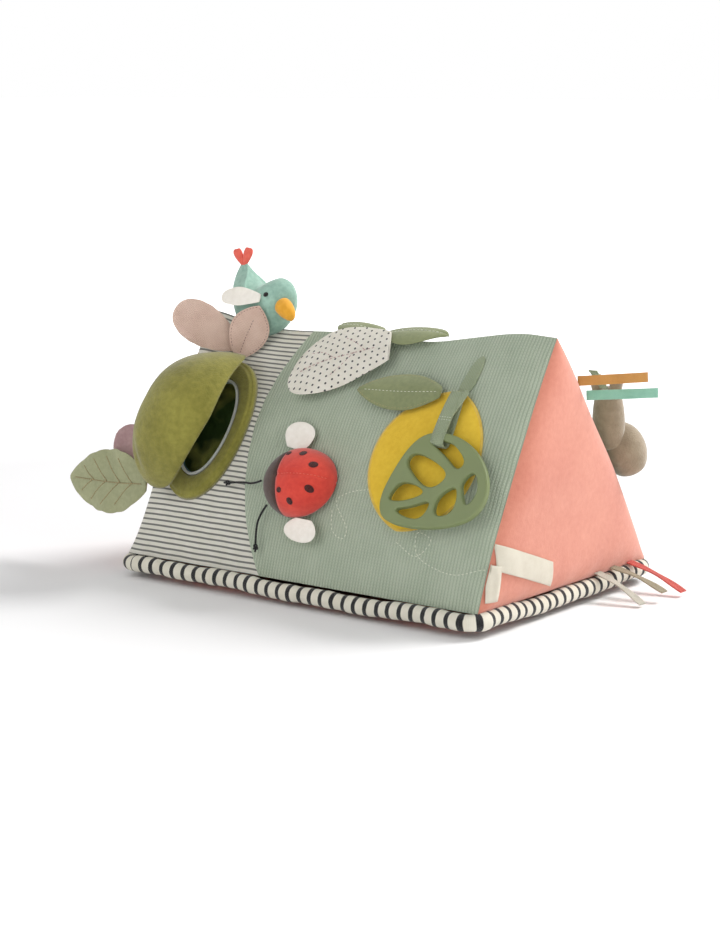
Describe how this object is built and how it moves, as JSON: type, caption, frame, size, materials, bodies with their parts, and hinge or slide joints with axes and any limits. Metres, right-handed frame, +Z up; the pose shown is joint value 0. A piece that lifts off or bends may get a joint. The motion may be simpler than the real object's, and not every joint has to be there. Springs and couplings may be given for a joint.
{
  "type": "activity wedge",
  "caption": "Soft stuffed three-sided activity wedge with lift-up leaves, a peekaboo mirror flap, a ladybird, a bird, a leaf teether and ribbon tags.",
  "frame": {"origin": "centre of the flat underside", "axes": "+Z up, +X along the ridge towards the coral end with the labels, -Y towards the play face"},
  "size_m": [0.4554, 0.2483, 0.2454],
  "materials": {
    "wadding": "soft polyester wadding",
    "stripe_cloth": "ivory jersey with thin charcoal stripes",
    "sage_knit": "ribbed sage knit",
    "cream_cloth": "cream to grey-green cloth",
    "aqua_cloth": "pale aqua cloth",
    "coral_velour": "coral velour",
    "foam": "open-cell foam",
    "piping_cloth": "ivory piping with narrow black bands",
    "olive_velour": "olive velour",
    "mirror_foil": "flexible safety mirror",
    "satin_binding": "silver-white binding",
    "lemon_felt": "lemon velour with satin-stitched edge",
    "sage_tape": "woven sage tape",
    "silicone": "matt sage silicone",
    "red_velour": "red velour with dark printed spots",
    "brown_velour": "brown-grey velour",
    "white_felt": "off-white felt",
    "rattle_plastic": "moulded rattle shell",
    "black_cord": "waxed black cord",
    "teal_velour": "teal velour",
    "beak_velour": "yellow-orange velour",
    "coral_felt": "coral felt",
    "pink_cloth": "dusty pink mottled weave",
    "sage_leaf_cloth": "sage-grey cloth with tan stitched veins",
    "mauve_cloth": "mauve cloth",
    "dotted_cloth": "ivory cloth with black dots and stitched veins",
    "olive_leaf_cloth": "olive-sage cloth",
    "crinkle_film": "crackling film",
    "ochre_satin": "ochre satin ribbon",
    "mint_satin": "mint satin ribbon",
    "coral_satin": "coral satin ribbon",
    "taupe_satin": "taupe satin ribbon",
    "cream_satin": "cream satin ribbon",
    "label_cloth": "ivory woven label, no lettering",
    "taupe_plush": "taupe plush"
  },
  "bodies": {
    "cushion": {"core_stuffing": "wadding", "stripe_panel": "stripe_cloth", "knit_panel": "sage_knit", "back_panel_upper": "cream_cloth", "back_panel_lower": "aqua_cloth", "right_end_panel": "coral_velour", "left_end_panel": "coral_velour", "base_panel": "coral_velour", "base_foam": "foam", "piping_cover": "piping_cloth", "piping_cord": "wadding", "pod_frame": "olive_velour", "mirror_plate": "mirror_foil", "mirror_rim": "satin_binding", "lemon_applique": "lemon_felt", "stem_tape": "sage_tape"},
    "flap": {"flap_cover": "olive_velour", "flap_wadding": "wadding", "flap_lining": "olive_velour"},
    "pink_leaf_wide": {"pink_leaf_wide": "pink_cloth"},
    "pink_leaf_narrow": {"pink_leaf_narrow": "pink_cloth"},
    "side_leaf": {"side_leaf": "sage_leaf_cloth", "side_leaf_film": "crinkle_film"},
    "mauve_leaf": {"mauve_leaf": "mauve_cloth"},
    "spotted_leaf": {"spotted_leaf": "dotted_cloth", "spotted_leaf_film": "crinkle_film"},
    "ridge_leaf_right": {"ridge_leaf_right": "olive_leaf_cloth"},
    "ridge_leaf_left": {"ridge_leaf_left": "olive_leaf_cloth"},
    "lemon_leaf": {"lemon_leaf": "olive_leaf_cloth"},
    "strap": {"teether_strap": "sage_tape"},
    "teether": {"teether_leaf": "silicone"},
    "ladybird": {"ladybird_base": "red_velour", "ladybird_shell": "red_velour", "ladybird_head": "brown_velour", "ladybird_stuffing": "wadding", "rattle_capsule": "rattle_plastic", "rattle_beads": "rattle_plastic", "antenna_upper": "black_cord", "antenna_lower": "black_cord", "antenna_knot_upper": "black_cord", "antenna_knot_lower": "black_cord"},
    "bird": {"bird_body": "teal_velour", "bird_squeaker": "rattle_plastic", "bird_beak": "beak_velour", "bird_tuft": "coral_felt"},
    "ladybird_wing_upper": {"ladybird_wing_upper": "white_felt"},
    "ladybird_wing_lower": {"ladybird_wing_lower": "white_felt"},
    "bird_wing_near": {"bird_wing_near": "white_felt"},
    "bird_wing_far": {"bird_wing_far": "white_felt"},
    "ribbon_ochre": {"ribbon_ochre": "ochre_satin"},
    "ribbon_mint": {"ribbon_mint": "mint_satin"},
    "ribbon_coral": {"ribbon_coral": "coral_satin"},
    "ribbon_taupe": {"ribbon_taupe": "taupe_satin"},
    "ribbon_cream": {"ribbon_cream": "cream_satin"},
    "woven_label": {"woven_label": "label_cloth"},
    "care_label": {"care_label": "label_cloth"},
    "animal": {"animal_body": "taupe_plush", "animal_head": "taupe_plush", "animal_feet": "taupe_plush", "animal_loop": "sage_tape"}
  },
  "joints": [
    {"name": "flap_hinge", "type": "hinge", "parent": "cushion", "child": "flap", "pos_m": [-0.14921, -0.07113, 0.12243], "axis": [-0.2079, -0.4784, -0.8532], "range_deg": [-24, 60], "stiffness_Nm_per_rad": 1.5},
    {"name": "pink_leaf_wide_hinge", "type": "hinge", "parent": "cushion", "child": "pink_leaf_wide", "pos_m": [-0.116, -0.03649, 0.17009], "axis": [0.337, 0.4438, 0.8304], "range_deg": [-8, 6], "stiffness_Nm_per_rad": 0.05},
    {"name": "pink_leaf_narrow_hinge", "type": "hinge", "parent": "cushion", "child": "pink_leaf_narrow", "pos_m": [-0.106, -0.03679, 0.16854], "axis": [0.7936, 0.5573, -0.2443], "range_deg": [-12, 12], "stiffness_Nm_per_rad": 0.05},
    {"name": "side_leaf_hinge", "type": "hinge", "parent": "cushion", "child": "side_leaf", "pos_m": [-0.161, -0.088, 0.066], "axis": [-0.031, 0.1981, 0.9797], "range_deg": [-3, 45], "stiffness_Nm_per_rad": 0.05},
    {"name": "mauve_leaf_hinge", "type": "hinge", "parent": "cushion", "child": "mauve_leaf", "pos_m": [-0.161, -0.076, 0.073], "axis": [0.6035, 0.3132, 0.7333], "range_deg": [-30, 2], "stiffness_Nm_per_rad": 0.05},
    {"name": "spotted_leaf_hinge", "type": "hinge", "parent": "cushion", "child": "spotted_leaf", "pos_m": [0.024, -0.02548, 0.1834], "axis": [-0.406, 0.5613, 0.7211], "range_deg": [0, 60], "stiffness_Nm_per_rad": 0.05},
    {"name": "ridge_leaf_right_hinge", "type": "hinge", "parent": "cushion", "child": "ridge_leaf_right", "pos_m": [0.009, -0.013, 0.193], "axis": [0.1177, -0.9881, 0.0988], "range_deg": [0, 45], "stiffness_Nm_per_rad": 0.05},
    {"name": "ridge_leaf_left_hinge", "type": "hinge", "parent": "cushion", "child": "ridge_leaf_left", "pos_m": [0.003, -0.013, 0.193], "axis": [0.1263, 0.9871, -0.0987], "range_deg": [0, 45], "stiffness_Nm_per_rad": 0.05},
    {"name": "lemon_leaf_hinge", "type": "hinge", "parent": "cushion", "child": "lemon_leaf", "pos_m": [0.084, -0.0486, 0.1528], "axis": [-0.0693, 0.6128, 0.7872], "range_deg": [0, 50], "stiffness_Nm_per_rad": 0.05},
    {"name": "strap_lift", "type": "hinge", "parent": "cushion", "child": "strap", "pos_m": [0.09425, -0.04809, 0.15596], "axis": [-1, 0, 0], "range_deg": [0, 70]},
    {"name": "teether_swing", "type": "hinge", "parent": "strap", "child": "teether", "pos_m": [0.09425, -0.06864, 0.12483], "axis": [0, -0.8722, 0.4891], "range_deg": [-12, 12], "stiffness_Nm_per_rad": 0.2},
    {"name": "ladybird_twist", "type": "hinge", "parent": "cushion", "child": "ladybird", "pos_m": [-0.012, -0.08645, 0.08346], "axis": [0, -0.8722, 0.4891], "range_deg": [-18, 18], "stiffness_Nm_per_rad": 0.1},
    {"name": "bird_sway", "type": "hinge", "parent": "cushion", "child": "bird", "pos_m": [-0.11, -0.015, 0.1898], "axis": [1, 0, 0], "range_deg": [-20, 3], "stiffness_Nm_per_rad": 0.5},
    {"name": "ladybird_wing_upper_hinge", "type": "hinge", "parent": "ladybird", "child": "ladybird_wing_upper", "pos_m": [-0.027, -0.07592, 0.1053], "axis": [0.9949, 0.0492, 0.0877], "range_deg": [0, 40], "stiffness_Nm_per_rad": 0.02},
    {"name": "ladybird_wing_lower_hinge", "type": "hinge", "parent": "ladybird", "child": "ladybird_wing_lower", "pos_m": [0.001, -0.09951, 0.0612], "axis": [-0.9982, 0.0292, 0.0521], "range_deg": [0, 40], "stiffness_Nm_per_rad": 0.02},
    {"name": "bird_wing_near_hinge", "type": "hinge", "parent": "bird", "child": "bird_wing_near", "pos_m": [-0.106, -0.0351, 0.207], "axis": [-0.0372, 0.9365, 0.3487], "range_deg": [-2, 35], "stiffness_Nm_per_rad": 0.02},
    {"name": "bird_wing_far_hinge", "type": "hinge", "parent": "bird", "child": "bird_wing_far", "pos_m": [-0.106, 0.0051, 0.207], "axis": [0.0372, 0.9365, -0.3487], "range_deg": [-2, 35], "stiffness_Nm_per_rad": 0.02},
    {"name": "ribbon_ochre_hinge", "type": "hinge", "parent": "cushion", "child": "ribbon_ochre", "pos_m": [0.1586, 0.015, 0.161], "axis": [0.0301, 0.0301, -0.9991], "range_deg": [-25, 25], "stiffness_Nm_per_rad": 0.01},
    {"name": "ribbon_mint_hinge", "type": "hinge", "parent": "cushion", "child": "ribbon_mint", "pos_m": [0.1586, 0.027, 0.1495], "axis": [0.0146, 0.0146, -0.9998], "range_deg": [-25, 25], "stiffness_Nm_per_rad": 0.01},
    {"name": "ribbon_coral_hinge", "type": "hinge", "parent": "cushion", "child": "ribbon_coral", "pos_m": [0.1586, 0.084, 0.0196], "axis": [-0.038, -0.9992, 0.012], "range_deg": [0, 35], "stiffness_Nm_per_rad": 0.01},
    {"name": "ribbon_taupe_hinge", "type": "hinge", "parent": "cushion", "child": "ribbon_taupe", "pos_m": [0.1586, 0.06, 0.0196], "axis": [-0.0406, -0.9991, 0.0128], "range_deg": [0, 35], "stiffness_Nm_per_rad": 0.01},
    {"name": "ribbon_cream_hinge", "type": "hinge", "parent": "cushion", "child": "ribbon_cream", "pos_m": [0.1586, 0.04, 0.0196], "axis": [-0.0864, -0.9959, 0.0273], "range_deg": [0, 35], "stiffness_Nm_per_rad": 0.01},
    {"name": "woven_label_hinge", "type": "hinge", "parent": "cushion", "child": "woven_label", "pos_m": [0.1584, -0.091, 0.053], "axis": [0, -0.3206, -0.9472], "range_deg": [0, 60], "stiffness_Nm_per_rad": 0.01},
    {"name": "care_label_hinge", "type": "hinge", "parent": "cushion", "child": "care_label", "pos_m": [0.16, -0.1, 0.048], "axis": [-0.706, -0.706, 0.0565], "range_deg": [0, 40], "stiffness_Nm_per_rad": 0.01},
    {"name": "animal_swing", "type": "hinge", "parent": "cushion", "child": "animal", "pos_m": [0.1496, 0.046, 0.164], "axis": [0, 0.8009, 0.5988], "range_deg": [-15, 15]}
  ]
}
